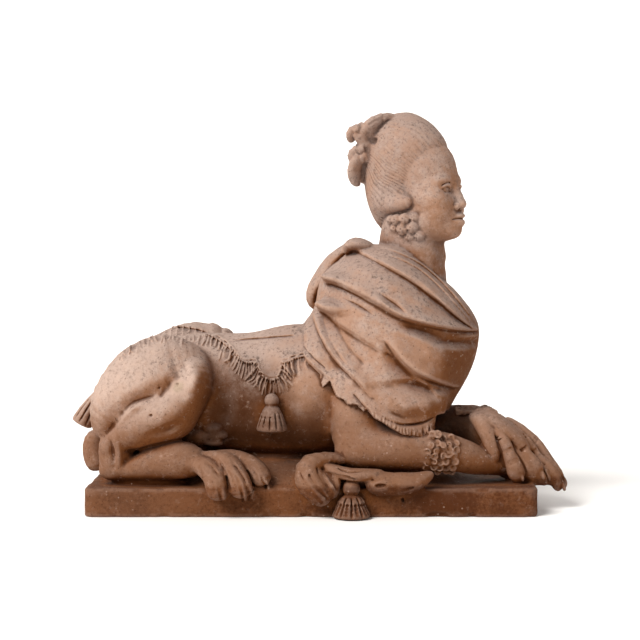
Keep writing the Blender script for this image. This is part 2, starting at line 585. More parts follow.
# creases between the toes and over their joints, and the sunk and raised lines of the claws
toe_marks = Relief(statue)
for line in (
    [(-226, 122, 3, -1), (-209, 109, 4, -3), (-196, 92, 3, -1)],
    [(-198, 125, 4, -1), (-187, 108, 5, -4), (-180, 84, 5, -4), (-178, 60, 4, -2)],
    [(-170, 123, 4, -1), (-156, 106, 5, -4), (-142, 86, 5, -4), (-137, 68, 4, -2)],
    [(-178, 106, 3, -1), (-167, 92, 4, -3), (-163, 76, 3, -1)],
    [(-166, 100, 3, -0.5), (-156, 88, 3, -2.4), (-152, 76, 3, -0.5)],
    [(-136, 112, 3, -1), (-120, 98, 4, -3), (-113, 82, 3, -1)],
    [(-216, 88, 3, -0.5), (-208, 76, 3.4, -2), (-205, 66, 3, -0.5)],
    [(-240, 112, 4, -1), (-232, 96, 5, -3), (-228, 78, 4, -1)],
    [(-212, 104, 3, -0.5), (-200, 99, 3.4, -2), (-190, 92, 3, -0.5)],
    [(-172, 116, 3, -0.5), (-160, 112, 3.4, -2), (-150, 104, 3, -0.5)],
    [(-130, 116, 3, -0.5), (-118, 110, 3.4, -2), (-110, 101, 3, -0.5)],
    [(-197, 69, 3, -1), (-193, 52, 4, -4), (-193, 37, 4, -3)],
    [(-151, 72, 3, -1), (-146, 52, 4, -4), (-147, 36, 4, -3)],
    [(-136, 74, 3, -1), (-133, 54, 4, -4), (-134, 38, 4, -3)],
    [(-107, 90, 3, -1), (-100, 74, 4, -4), (-97, 62, 4, -3)],
    [(-188, 70, 3, 1), (-184, 55, 5, 4), (-185, 40, 4, 3)],
    [(-144, 73, 3, 1), (-140, 55, 5, 4), (-142, 38, 4, 3)],
    [(-130, 76, 3, 1), (-125, 59, 5, 4), (-127, 42, 4, 3)],
    [(-101, 90, 3, 1), (-94, 76, 5, 4), (-91, 64, 4, 3)]
):
    toe_marks.stroke(line, detail=4)
statue.raise_by(toe_marks.height, 1)
# the far foot's toes
for i in range(4):
    x1, y1 = -190 + 16 * i, 176 - 24 * i
    statue.lay([
        (x1 - 70, y1 - 26, 116, 22, 22), (x1 - 24, y1 - 10, 116, 21, 20), (x1 + 10, y1, 100, 19, 18),
        (x1 + 34, y1 + 2, 80, 14, 13)
    ], 8, side=(1, 1, 0), blunt=3, pieces=16)
# the tail's tuft, curled up between thigh and belly
statue.lay([(-300, -60, 150, 20, 20), (-256, -82, 160, 18, 20), (-226, -92, 165, 14, 18)], 8)
for x, z, r, h in ((-212, 182, 15, 10), (-203, 166, 20, 10), (-210, 150, 17, 8)):
    statue.lump((x - 6, -92, z), (r + 4, 12, h), 9)
    statue.carve([
        (x - 18, -108, z + 7, 2, 2), (x, -109, z + 9, 2.2, 2.2), (x + r - 8, -106, z + 6, 2, 2)
    ], 4, pieces=5, reach=8)

# the forelegs: sleeves, forearms, and the crossed paws
statue.lay([
    (118, -84, 330, 60, 60), (108, -98, 250, 54, 64), (102, -112, 190, 50, 60), (100, -122, 146, 46, 56)
], 20, blunt=4)
statue.lay([
    (54, -128, 134, 30, 30), (100, -134, 138, 44, 42), (200, -136, 142, 50, 48), (290, -122, 134, 46, 42),
    (370, -96, 112, 42, 32), (440, -54, 92, 38, 22)
], 26, blunt=4, pieces=16)
statue.lay([(118, 100, 330, 60, 60), (112, 116, 240, 54, 60), (118, 122, 160, 48, 50)], 30, blunt=4)
statue.lay([
    (96, 122, 136, 36, 38), (180, 112, 146, 46, 46), (270, 80, 164, 46, 46), (340, 40, 180, 46, 42),
    (392, -6, 172, 50, 48), (440, -44, 146, 52, 40)
], 20, blunt=4, pieces=16)
statue.lay([
    (390, -34, 146, 54, 44), (446, -60, 112, 58, 40), (496, -64, 82, 48, 30), (540, -62, 62, 30, 16)
], 14, blunt=3)
statue.lay([
    (366, -38, 206, 50, 20), (404, -50, 190, 54, 24), (446, -58, 160, 50, 22), (484, -62, 124, 44, 18)
], 10, blunt=4)
for i in range(4):
    y1 = -62 + 22 * i
    statue.lay([
        (410, y1 - 6, 98, 12, 16), (452, y1 + 6, 92, 11, 15), (484, y1 + 14, 74, 8, 9)
    ], 4, pieces=8)
# the near paw's five long fingers, with gaps between them, claws and wrinkles
fingers = [
    [
        (356, -60, 206, 14, 14), (372, -86, 196, 18, 18), (388, -104, 168, 18, 18),
        (398, -112, 138, 17, 17), (402, -112, 112, 15, 15)
    ],
    [
        (386, -56, 210, 14, 13), (404, -86, 186, 16, 14), (424, -106, 150, 17, 16),
        (434, -114, 128, 17, 15), (444, -118, 104, 18, 19), (450, -118, 84, 18, 20), (454, -112, 64, 12, 13)
    ],
    [
        (400, -40, 208, 14, 12), (430, -68, 180, 15, 13), (456, -84, 150, 16, 15), (472, -92, 128, 16, 14),
        (488, -97, 104, 17, 18), (496, -98, 90, 16, 18), (500, -94, 74, 11, 12)
    ],
    [
        (420, -24, 202, 13, 11), (454, -44, 174, 13, 11), (482, -58, 146, 14, 12), (504, -68, 116, 13, 11),
        (528, -72, 88, 15, 14), (544, -72, 62, 15, 15), (550, -68, 42, 11, 11)
    ],
    [
        (440, 0, 196, 13, 11), (484, -20, 166, 13, 11), (512, -32, 136, 13, 11), (532, -42, 102, 13, 12),
        (550, -48, 74, 14, 13), (559, -48, 52, 12, 12)
    ]
]
for finger in fingers:
    statue.lay(finger, 5, blunt=4, pieces=16)
for a, b in zip(fingers, fingers[1:]):
    gap = [
        (0.5 * (p[0] + q[0]), 0.5 * (p[1] + q[1]) - 10, 0.5 * (p[2] + q[2]), 5, 2.5) for p,
        q in zip(a[1:], b[1:])
    ]
    statue.carve(gap, 4, pieces=12, reach=8)
for x, y, z in ((462, -128, 78), (510, -108, 80), (561, -78, 50), (568, -54, 56)):
    statue.lay([
        (x - 5, y + 5, z + 12, 5, 4), (x, y, z, 5, 4), (x + 1, y + 1, z - 9, 3, 3)
    ], 2, pieces=6, blunt=4, reach=8)
wrinkles = np.random.default_rng(31)
for finger in fingers[1:]:
    for joint in (1.6, 2.6, 3.6):
        i, f = int(joint), joint % 1
        if i + 1 >= len(finger):
            continue
        p, q = np.array(finger[i]), np.array(finger[i + 1])
        x, y, z, w, d = p + (q - p) * f
        along = (q - p)[:3] / np.linalg.norm((q - p)[:3])
        up = np.cross(along, (0, 1, 0))
        for shift in (-3, 3):
            middle = np.array((x, y - w, z)) + along * (shift + wrinkles.normal())
            ends = [middle + up * d * k + np.array((0, abs(k) * 8, 0)) for k in (-0.8, 0, 0.8)]
            statue.carve([(*e, 1.1, 1.2) for e in ends], 2.5, pieces=5, reach=6)

statue.merge(cape, 6)


def near_skin(clay, x, z):
    """How far towards -Y the clay reaches at this x and z."""
    i = int(round((x - clay.axes[0][0]) / clay.step))
    k = int(round((z - clay.axes[2][0]) / clay.step))
    return float(clay.axes[1][int(np.argmax(clay.field[i, :, k] < 0))])


# lace at both cuffs: little rings and curls of clay, pressed on side by side
rings = np.random.default_rng(11)
for i in range(5):
    for k in range(8):
        x1 = 254 + 15 * i + 2 * rings.normal() + (k - 4) * 2
        z1 = 92 + 12.5 * k + 2 * rings.normal()
        y1 = near_skin(statue, x1, z1)
        if y1 > -90:
            continue
        facing = (0.4 * rings.normal(), -1, 0.4 * rings.normal())
        statue.lump((x1, y1 + 4, z1), (8, 7, 8), 5, reach=8)
        statue.add(
            statue.ring((x1, y1 - 3, z1), rings.uniform(5, 7.5), rings.uniform(1.9, 2.6), facing, reach=6),
            1.5
        )
for i in range(4):
    for k in range(6):
        p = np.array((332 + 14 * k, -56 + 22 * i, 222 - 1.2 * k)) + 2.5 * rings.normal(size=3) * (1, 1, 0)
        at = [int(round((v - axis[0]) / statue.step)) for v, axis in zip(p, statue.axes)]
        column = np.nonzero(statue.field[at[0], at[1], :] < 0)[0]
        p[2] = statue.axes[2][column[-1]] if column.size and statue.axes[2][column[-1]] < 262 else 216
        facing = (0.3 * rings.normal(), -0.5, 1)
        statue.lump(p - (0, 0, 4), (8, 8, 7), 5, reach=8)
        statue.add(
            statue.ring(p + (0, 0, 2), rings.uniform(5, 7.5), rings.uniform(1.9, 2.6), facing, reach=6), 1.5
        )

# the cloth knot over the plinth's edge, with its tassel
statue.lay([
    (74, -140, 118, 26, 12), (34, -166, 124, 30, 15), (0, -190, 112, 32, 25), (-4, -204, 88, 32, 33),
    (10, -212, 64, 28, 30), (26, -216, 44, 22, 22), (34, -216, 34, 14, 12)
], 6, pieces=18, blunt=5)
statue.lay([
    (36, -196, 104, 20, 18), (44, -206, 82, 20, 20), (46, -212, 62, 16, 16), (44, -214, 46, 10, 10)
], 8, blunt=4)
statue.lay([
    (20, -176, 118, 22, 8), (52, -196, 102, 26, 13), (84, -204, 94, 28, 14), (118, -202, 94, 26, 13),
    (150, -194, 98, 18, 9)
], 4, blunt=4)
statue.lump((150, -200, 74), (34, 30, 25), 12)
statue.lay([
    (150, -196, 72, 22, 20), (186, -202, 74, 26, 25), (222, -196, 78, 24, 20), (250, -182, 88, 18, 13),
    (262, -174, 94, 10, 7)
], 14, blunt=3, pieces=18)
for groove in (
    [(-34, -214, 92, 1.2, 2), (-26, -230, 64, 2, 3), (4, -238, 38, 2, 2.6)],
    [(-24, -222, 104, 1.2, 2), (-14, -236, 80, 2, 3), (4, -240, 58, 2, 3), (24, -234, 36, 1.4, 2)],
    [(-10, -220, 112, 1.2, 2), (0, -236, 90, 2, 3), (16, -238, 68, 2, 3), (36, -230, 44, 1.4, 2)],
    [(8, -216, 114, 1.2, 2), (22, -228, 94, 2, 3), (38, -228, 70, 1.6, 3)],
    [(-30, -226, 76, 1, 1.4), (-16, -238, 56, 1.4, 2), (-2, -238, 44, 1, 1.4)],
    [(30, -212, 104, 3, 4), (48, -222, 84, 4, 6), (60, -222, 62, 3, 5)],
    [(34, -212, 98, 2, 3), (64, -226, 92, 2.6, 4), (108, -222, 90, 2, 3)],
    [(40, -204, 108, 1.6, 2), (80, -222, 102, 2, 3), (120, -218, 102, 1.6, 2)],
    [(124, -212, 90, 2, 3), (136, -226, 84, 2, 3), (170, -226, 94, 2.4, 3), (204, -218, 96, 2, 2)],
    [(134, -226, 60, 2, 2), (160, -232, 58, 2, 3), (196, -226, 62, 2, 3), (232, -210, 78, 1.6, 2)],
    [(134, -230, 73, 8, 4), (148, -230, 74, 10, 5.5), (162, -230, 75, 7, 3.5)]
):
    statue.carve(groove, 4, pieces=8, reach=12)
statue.pit((197, -190, 38), (4, 9, 5), 3)


def tassel(clay, top, length, radius, lean, flutes, holes):
    """Adds a tassel: round head, tied neck, flared skirt of strands with rows of pricked holes."""
    top = np.array(top, float)
    down = np.array((-math.sin(lean), 0, -math.cos(lean)))
    head = radius * 0.42
    clay.lump(top + down * head, (head, head, head), 4)
    start, skirt = top + down * head * 1.7, length - head * 1.7
    clay.lay([
        (*start, radius * 0.34, radius * 0.34),
        (*(start + down * skirt * 0.4), radius * 0.66, radius * 0.66),
        (*(top + down * length), radius * 0.98, radius * 0.98)
    ], 3, blunt=9, pieces=10)
    side = np.array((1.0, 0, 0)) - down * down[0]
    side /= np.linalg.norm(side)
    for i in range(flutes):
        turn = 2 * math.pi * (i + 0.5) / flutes
        out = side * math.cos(turn) + np.array((0, 1.0, 0)) * math.sin(turn)
        line = []
        for s in (0.12, 0.4, 0.7, 1.02):
            middle = start + down * s * skirt + out * radius * (0.3 + 0.7 * s)
            line.append((*middle, 1.2 + 1.4 * s, 2.5 + 3 * s))
        clay.carve(line, 2, side=np.cross(down, out), pieces=6, reach=6)
        for k in range(holes):
            turn = 2 * math.pi * i / flutes
            out = side * math.cos(turn) + np.array((0, 1.0, 0)) * math.sin(turn)
            s = 0.35 + 0.5 * (k + 0.5) / holes
            hole = start + down * s * skirt + out * radius * (0.32 + 0.7 * s)
            clay.pit(hole, (3, 3, 3), 1.5, reach=6)


tassel(statue, (86, -204, 84), 82, 46, 0.0, 10, 4)
tassel(statue, (-86, -132, 262), 82, 37, 0.0, 13, 0)
tassel(statue, (-474, 0, 270), 100, 27, 0.5, 9, 0)

# the head, in a frame of its own: ahead of the face, to her left, and up
HEAD = (Matrix.Translation((240, -10, 702)) @ Matrix.Rotation(math.radians(-31), 4, "Z")
        @ Matrix.Rotation(math.radians(-4), 4, "Y"))


def on_head(sections):
    """Sections that were laid out on the statue, as seen from the head."""
    back = HEAD.inverted()
    return [(*(back @ Vector(s[:3])), *s[3:]) for s in sections]


# the face, of a general kind: egg-shaped, calm, with even features
HEAD_BOX = ((-200.0, -126.0, -246.0), (148.0, 126.0, 204.0), 1.5)
head = Clay(*HEAD_BOX)
head.lay([
    (60, 0, -106, 22, 20), (53, 0, -86, 41, 41), (38, 0, -46, 57, 59), (24, 0, 14, 67, 74),
    (6, 0, 64, 69, 80), (-12, 0, 112, 46, 50)
], 1, blunt=4, pieces=30)
for hand in (-1, 1):
    # cheek, cheekbone, jaw, eye socket, brow
    head.lump((62, 34 * hand, -38), (27, 24, 30), 26)
    head.lump((54, 48 * hand, -14), (26, 19, 18), 26)
    head.lay([(2, 56 * hand, -50, 16, 17), (36, 41 * hand, -82, 15, 16), (67, 16 * hand, -93, 13, 14)], 24)
    head.pit((108, 30 * hand, 3), (19, 22, 14), 18)
    head.lay([
        (84, 12 * hand, 16, 6, 6), (82, 27 * hand, 21, 7, 6), (74, 43 * hand, 19, 6, 5),
        (61, 54 * hand, 10, 5, 5)
    ], 20)
    # eyeball between its two lids
    head.lump((73.5, 31 * hand, 0.5), (14.5, 16.5, 12.5), 1.5)
    head.lay([
        (83, 14 * hand, -2, 2.4, 2.4), (89.5, 22 * hand, 7.5, 3, 3), (91, 31 * hand, 10.5, 3.2, 3),
        (86, 40 * hand, 7.5, 3, 2.8), (77, 48.5 * hand, -1, 2.2, 2.2)
    ], 3, side=(0, 0, 1))
    head.lay([
        (83, 15 * hand, -4, 1.8, 1.8), (88, 24 * hand, -8.5, 2.4, 2.2), (87.5, 33 * hand, -10, 2.6, 2.4),
        (82, 42 * hand, -7, 2.3, 2.1), (76, 48.5 * hand, -3, 1.8, 1.8)
    ], 3, side=(0, 0, 1))
    head.carve([(87, 18 * hand, 13, 1, 1), (92, 30 * hand, 16.5, 1.2, 1.1), (83, 45 * hand, 10, 1, 1)], 4)
    # the line where each lid meets the eyeball
    head.carve([
        (85, 15 * hand, -1.5, 1, 1), (90, 23 * hand, 4.8, 1.5, 1.3), (91, 31 * hand, 7, 1.6, 1.4),
        (87.5, 40 * hand, 4.8, 1.5, 1.3), (79, 47 * hand, -2, 1, 1)
    ], 2, side=(0, 0, 1), reach=8)
    head.carve([
        (85, 16 * hand, -3, 1, 1), (89, 24 * hand, -6, 1.2, 1), (89, 33 * hand, -7.2, 1.2, 1),
        (82, 42 * hand, -4, 1, 1)
    ], 2, side=(0, 0, 1), reach=8)
# the nose: bridge, tip, wings and nostrils
head.lay([
    (86, 0, 22, 9, 8), (89, 0, 4, 8.5, 10), (96, 0, -14, 9, 12), (103, 0, -30, 10, 12), (103, 0, -40, 9, 8)
], 10, pieces=14, blunt=5)
head.lump((105, 0, -33), (10.5, 9, 8.5), 8)
for hand in (-1, 1):
    head.lump((98, 11.5 * hand, -37), (9, 6.5, 7), 5)
    head.pit((104, 6 * hand, -44.5), (5, 2.8, 4), 2.5)
# mouth and chin
head.lump((80, 0, -62), (20, 24, 16), 16)
head.lay([
    (88, -22, -65, 3, 3), (99, -11, -60, 5.2, 5.6), (104.5, -4, -58, 5.6, 6), (104, 0, -59, 5.4, 5.6),
    (104.5, 4, -58, 5.6, 6), (99, 11, -60, 5.2, 5.6), (88, 22, -65, 3, 3)
], 4, side=(0, 0, 1), pieces=18)
head.lay([
    (89, -19, -67, 3, 3), (98.5, -9, -71, 6.6, 6.2), (103, 0, -72, 7.4, 7), (98.5, 9, -71, 6.6, 6.2),
    (89, 19, -67, 3, 3)
], 4, side=(0, 0, 1), pieces=16)
head.carve([(88, -15, -82, 3, 3), (99, 0, -83.5, 5, 5), (88, 15, -82, 3, 3)], 8, side=(0, 0, 1))
head.carve([
    (90, -24, -65.5, 2, 2.5), (103, -11, -64.4, 1.7, 2), (109, 0, -65.2, 1.7, 2), (103, 11, -64.4, 1.7, 2),
    (90, 24, -65.5, 2, 2.5)
], 2.5, side=(0, 0, 1), pieces=18)
head.carve([(107, 0, -47, 2.4, 2), (105, 0, -53, 2.6, 2)], 4, pieces=5)
head.lump((81, 0, -90), (17, 21, 15), 20)
# the neck, with its two long muscles and a soft ring fold
head.lay(
    on_head([
        (220, 0, 462, 96, 92), (222, -2, 545, 72, 80), (222, -6, 606, 58, 70), (228, -10, 672, 56, 64)
    ]),
    14, blunt=6
)
for hand in (-1, 1):
    head.lay([(-14, 44 * hand, -70, 8, 10), (14, 40 * hand, -104, 9, 11), (38, 24 * hand, -144, 6, 7)], 26)
head.carve([
    (52, -50, -124, 2, 2), (68, -26, -132, 2.4, 2.4), (73, 0, -136, 2.4, 2.4), (68, 26, -132, 2.4, 2.4),
    (52, 50, -124, 2, 2)
], 7)

# the hair, combed up and back to the ribbon, with a roll over each ear and curls below it
hair = Clay(*HEAD_BOX)
hair.heap([
    (-78, 0, -76, 34, 34), (-60, 0, -22, 64, 62), (-36, 0, 38, 80, 90), (-26, 0, 98, 80, 98),
    (-25, 0, 148, 66, 74), (-28, 0, 186, 38, 42)
], 1, blunt=3.4)
hair.pit((124, 0, -34), (104, 220, 116), 5)
x, y, z = [axis.reshape(shape) for axis, shape in zip(hair.axes, ((-1, 1, 1), (1, -1, 1), (1, 1, -1)))]
# the locks run from the hairline to the ribbon, each parted again into wisps
knot = np.array(HEAD.inverted() @ Vector((132, 20, 806)))
axis = np.array((62.0, 0, -20)) - knot
axis /= np.linalg.norm(axis)
side = np.cross(axis, (0, 1, 0))
side /= np.linalg.norm(side)
over = np.cross(axis, side)
x, y, z = x - np.float32(knot[0]), y - np.float32(knot[1]), z - np.float32(knot[2])
turn = np.arctan2(x * over[0] + y * over[1] + z * over[2], x * side[0] + y * side[1] + z * side[2])
away = np.sqrt(x * x + y * y + z * z)
comb = np.random.default_rng(7)
LOCKS = 62
locks = np.cumsum(comb.uniform(0.5, 1.5, LOCKS))
wave = turn + 0.035 * np.sin(away / 23) + 0.02 * np.sin(away / 9)
strand = np.interp(wave, np.linspace(-3.3, 3.3, LOCKS), locks).astype(np.float32)
low = np.clip((120 - hair.axes[2]) / 90, 0, 1)[None, None, :]
parted = np.abs(np.sin(np.pi * strand)) - 0.64
wisps = np.abs(np.sin(np.pi * 3 * strand + 1.2 * np.sin(away / 30))) - 0.64
hair.field -= (parted * (1.3 + 1.3 * low) + wisps * (0.5 + 0.5 * low)).astype(np.float32)
for hand in (-1, 1):
    hair.lay([
        (-66, 44 * hand, -22, 14, 14), (-34, 58 * hand, -24, 18, 17), (-2, 62 * hand, -22, 16, 15),
        (14, 58 * hand, -18, 10, 10)
    ], 34, blunt=3)
    hair.carve([
        (-44, 74 * hand, -44, 5, 5), (-16, 82 * hand, -45, 8, 6), (8, 80 * hand, -40, 8, 6),
        (26, 70 * hand, -34, 5, 5)
    ], 6)
    for x0, y0, z0, r in (
        (-42, 60, -56, 12), (-24, 68, -58, 14), (-2, 72, -58, 14), (18, 68, -56, 11), (-32, 62, -76, 12),
        (-10, 68, -80, 15), (14, 68, -78, 14), (2, 60, -98, 13), (24, 58, -96, 13)
    ):
        hair.lump((x0, (y0 - 4) * hand, z0), (r, r, r * 0.95), 4)
        for turn in (0.4, 2.2, 4.0, 5.4):
            c, d = r * math.cos(turn), r * math.sin(turn)
            groove = [
                (x0 + 0.25 * c - 0.3 * d, (y0 + r - 5) * hand, z0 + 0.25 * d + 0.3 * c, 1.2, 1.6),
                (x0 + 0.7 * c, (y0 + r * 0.7 - 4) * hand, z0 + 0.7 * d, 1.8, 2.2),
                (x0 + 0.9 * c + 0.5 * d, (y0 + r * 0.2 - 4) * hand, z0 + 0.9 * d - 0.5 * c, 1.2, 1.6)
            ]
            hair.carve(groove, 3, pieces=6, reach=6)
        hair.pit((x0, (y0 + r - 3) * hand, z0), (2.4, 5, 2.4), 2, reach=8)

# the ribbon: a bunch of loops at the back of the hair, hollow inside, and a hanging end
for line in (
    [
        (150, 6, 800, 26, 16), (132, 0, 826, 34, 20), (136, -6, 850, 34, 18), (160, -8, 872, 26, 11),
        (186, -6, 878, 16, 7)
    ],
    [
        (140, 10, 806, 22, 14), (120, -6, 830, 28, 15), (104, -12, 846, 24, 13), (92, -10, 836, 20, 12),
        (88, -6, 818, 14, 8)
    ],
    [(136, 10, 796, 22, 14), (112, 0, 800, 26, 13), (96, -4, 790, 20, 12), (92, -4, 772, 12, 8)],
    [
        (132, 0, 786, 20, 12), (108, -8, 778, 22, 13), (96, -12, 756, 20, 11), (98, -10, 734, 17, 9),
        (108, -4, 722, 10, 6)
    ],
    [(134, 10, 776, 18, 12), (118, 14, 752, 18, 11), (116, 16, 728, 12, 7)],
    [(150, 40, 812, 22, 16), (146, 58, 838, 22, 13), (138, 72, 830, 14, 9)]
):
    hair.lay(on_head(line), 7, side=(0.3, 1, 0.3), blunt=3.4)
for line in (
    [(130, -44, 848, 28, 8), (119, -48, 828, 42, 14), (117, -48, 804, 36, 11)],
    [(112, -36, 844, 4, 4), (102, -38, 834, 5, 5), (104, -34, 818, 4, 4)],
    [(150, -34, 864, 2, 3), (166, -32, 872, 2.6, 3), (182, -26, 874, 2, 2.4)],
    [(128, -36, 854, 2, 2.4), (142, -36, 862, 2.4, 3), (156, -34, 868, 2, 2.4)],
    [(92, -26, 812, 2, 3), (100, -30, 802, 3, 4), (112, -28, 798, 3, 4)],
    [(104, -34, 778, 2, 3), (94, -36, 758, 2.4, 3), (98, -32, 736, 2, 3)],
    [(114, -32, 774, 2, 3), (105, -34, 756, 2.4, 3), (106, -30, 736, 2, 3)],
    [(122, -28, 790, 3, 4), (122, -32, 772, 3, 6), (118, -28, 750, 3, 5)]
):
    hair.carve(on_head(line), 4, side=(0.3, 1, 0.3))
head.merge(hair, 2.5)


def mesh_of(clay, name, faces, place=None):
    """The clay's surface as a closed mesh of about this many triangles."""
    grid = openvdb.FloatGrid(50.0)
    grid.copyFromArray(np.ascontiguousarray(clay.field))
    points, quads = grid.convertToQuads(0.0)
    points = points.astype(np.float64) * clay.step + [axis[0] for axis in clay.axes]
    if place is not None:
        points = points @ np.array(place.to_3x3()).T + np.array(place.translation)
    mesh = bpy.data.meshes.new(name)
    mesh.vertices.add(len(points))
    mesh.vertices.foreach_set("co", (points * MM).ravel())
    mesh.loops.add(quads.size)
    mesh.loops.foreach_set("vertex_index", quads.ravel().astype(np.int32))
    mesh.polygons.add(len(quads))
    mesh.polygons.foreach_set("loop_start", np.arange(0, quads.size, 4, dtype=np.int32))
    mesh.update(calc_edges=True)
    mesh.validate()
    piece = bpy.data.objects.new(name, mesh)
    bpy.context.collection.objects.link(piece)
    thin = piece.modifiers.new("thin", "DECIMATE")
    thin.ratio = min(1.0, faces / (2 * len(quads)))
    return piece


# the hand's unevenness over the whole surface, in slow swells and a finer dabbing
uneven = np.random.default_rng(3)
for pitch, height in ((46.0, 1.5), (17.0, 0.7)):
    shape = [int(axis[-1] - axis[0]) // int(pitch) + 3 for axis in statue.axes]
    swell = uneven.uniform(-height, height, shape).astype(np.float32)
    for n, axis in enumerate(statue.axes):
        at = (axis - axis[0]) / pitch
        i = at.astype(int)
        f = (at - i).astype(np.float32)
        f = (f * f * (3 - 2 * f)).reshape([-1 if k == n else 1 for k in range(3)])
        swell = np.take(swell, i, axis=n) * (1 - f) + np.take(swell, i + 1, axis=n) * f
    statue.field += swell * np.clip(statue.axes[2] / 12, 0, 1)[None, None, :].astype(np.float32)
statue.field = np.maximum(statue.field, -statue.axes[2][None, None, :])

sphinx = mesh_of(statue, "sphinx_statue", 142000)
bust = mesh_of(head, "head", 52000, HEAD)
join = sphinx.modifiers.new("join", "BOOLEAN")
join.operation = "UNION"
join.solver = "MANIFOLD"
join.object = bust
bpy.context.view_layer.update()
whole = bpy.data.meshes.new_from_object(sphinx.evaluated_get(bpy.context.evaluated_depsgraph_get()))
sphinx.modifiers.clear()
sphinx.data = whole
bpy.data.objects.remove(bust)
# crumbs and closed-in bubbles go: only the one big body stays
shape = bmesh.new()
shape.from_mesh(whole)
loose, islands = set(shape.verts), []
while loose:
    todo = [loose.pop()]
    islands.append(list(todo))
    while todo:
        for edge in todo.pop().link_edges:
            for corner in edge.verts:
                if corner in loose:
                    loose.discard(corner)
                    todo.append(corner)
                    islands[-1].append(corner)
islands.sort(key=len)
bmesh.ops.delete(shape, geom=[corner for island in islands[:-1] for corner in island], context="VERTS")
bmesh.ops.recalc_face_normals(shape, faces=shape.faces)
shape.to_mesh(whole)
shape.free()
whole.materials.clear()
whole.polygons.foreach_set("material_index", np.zeros(len(whole.polygons), np.int32))
whole.shade_smooth()

# how deep each spot lies, from the share of clay around it, because dirt keeps to the hollows
CELL = 4.0
stride = max(1, int(round(CELL / statue.step)))
full = np.clip(0.5 - statue.field[::stride, ::stride, ::stride] / CELL, 0, 1)
low = np.array([axis[0] for axis in statue.axes])
tall = int((912 - low[2]) / CELL) - full.shape[2]
full = np.pad(full, ((0, 0), (0, 0), (0, tall)))
# the head's share is read from its own grid, in a box around it
box = []
for first, last, origin in zip((30, -150, 440), (380, 160, 900), low):
    box.append(slice(int((first - origin) / CELL), int((last - origin) / CELL)))
cells = [np.arange(part.start, part.stop) * CELL + origin for part, origin in zip(box, low)]
cells = np.stack(np.meshgrid(*cells, indexing="ij"), -1)
back = np.array(HEAD.inverted())
cells = cells @ back[:3, :3].T + back[:3, 3]
index = [np.rint((cells[..., n] - head.axes[n][0]) / head.step).astype(int) for n in range(3)]
inside = np.all([(i >= 0) & (i < axis.size) for i, axis in zip(index, head.axes)], axis=0)
index = [np.clip(i, 0, axis.size - 1) for i, axis in zip(index, head.axes)]
share = np.where(inside, np.clip(0.5 - head.field[tuple(index)] / CELL, 0, 1), 0)
full[tuple(box)] = np.maximum(full[tuple(box)], share)


def blurred(block, radius):
    """The mean over a cube of this half width, in cells, twice over."""
    for _ in range(2):
        for n in range(3):
            rim = [(radius + 1, radius) if k == n else (0, 0) for k in range(3)]
            sums = np.cumsum(np.pad(block, rim, mode="edge"), axis=n, dtype=np.float32)
            size = block.shape[n]
            block = (np.take(sums, range(2 * radius + 1, 2 * radius + 1 + size), axis=n)
                     - np.take(sums, range(size), axis=n)) / (2 * radius + 1)
    return block


def read_at(block, points):
    """The block's values at these points, read between its cells."""
    at = np.clip((points - low) / CELL, 0, np.array(block.shape) - 1.001)
    i = at.astype(int)
    f = at - i
    total = np.zeros(len(points))
    for n in range(8):
        o = np.array([n >> 2 & 1, n >> 1 & 1, n & 1])
        total += block[tuple((i + o).T)] * np.prod(np.where(o, f, 1 - f), axis=1)
    return total


count = len(whole.vertices)
spots = np.empty(count * 3)
whole.vertices.foreach_get("co", spots)
spots = spots.reshape(-1, 3) / MM
facing = np.array([v.vector for v in whole.vertex_normals])
crease = read_at(blurred(full, 1), spots) - 0.5
hollow = read_at(blurred(full, 7), spots + facing * 10)


def paint(name, values):
    layer = whole.attributes.new(name, "FLOAT", "POINT")
    layer.data.foreach_set("value", np.clip(values, 0, 1).astype(np.float32))


paint("crease", 0.5 + 2.2 * crease)
paint("hollow", (hollow - 0.25) / 0.5)

# finer marks: how far each point lies below or above its neighbours
pairs = np.empty(len(whole.edges) * 2, np.int32)
whole.edges.foreach_get("vertices", pairs)
one, other = pairs.reshape(-1, 2).T
ties = np.maximum(np.bincount(one, minlength=count) + np.bincount(other, minlength=count), 1)


def of_neighbours(values):
    """The mean of the values at the points that share an edge with each point."""
    return (np.bincount(one, values[other], count) + np.bincount(other, values[one], count)) / ties


level = np.stack([of_neighbours(spots[:, n]) for n in range(3)], 1) - spots
apart = np.sum((spots[one] - spots[other]) ** 2, axis=1)
apart = (np.bincount(one, apart, count) + np.bincount(other, apart, count)) / ties
level = np.einsum("ij,ij->i", level, facing) / (apart + 4)
for _ in range(2):
    level = 0.5 * level + 0.5 * of_neighbours(level)
paint("groove", 0.5 + level * 5)

# fired clay: pinkish where it is worn, orange brown in the hollows, grey with dust and
# lichen where it faces up, and browner towards the plinth
clay_look = bpy.data.materials.new("fired_clay")
clay_look.use_nodes = True
tree = clay_look.node_tree
surface = tree.nodes["Principled BSDF"]
surface.inputs["Specular IOR Level"].default_value = 0.12


def put(kind, **settings):
    node = tree.nodes.new("ShaderNode" + kind)
    for key, value in settings.items():
        setattr(node, key, value)
    return node


def wire(value, socket):
    if isinstance(value, (int, float, tuple)):
        socket.default_value = value
    else:
        tree.links.new(value, socket)


def measure(name):
    return put("Attribute", attribute_name=name).outputs["Fac"]


def maths(operation, *values):
    node = put("Math", operation=operation)
    for value, socket in zip(values, node.inputs):
        wire(value, socket)
    return node.outputs[0]


def times(one, other):
    return maths("MULTIPLY", one, other)


def plus(one, other):
    return maths("ADD", one, other)


def minus(one, other):
    return maths("SUBTRACT", one, other)


def drifting(value, noise, amount):
    """The value, pushed up and down by a noise."""
    return plus(value, times(minus(noise, 0.5), amount))


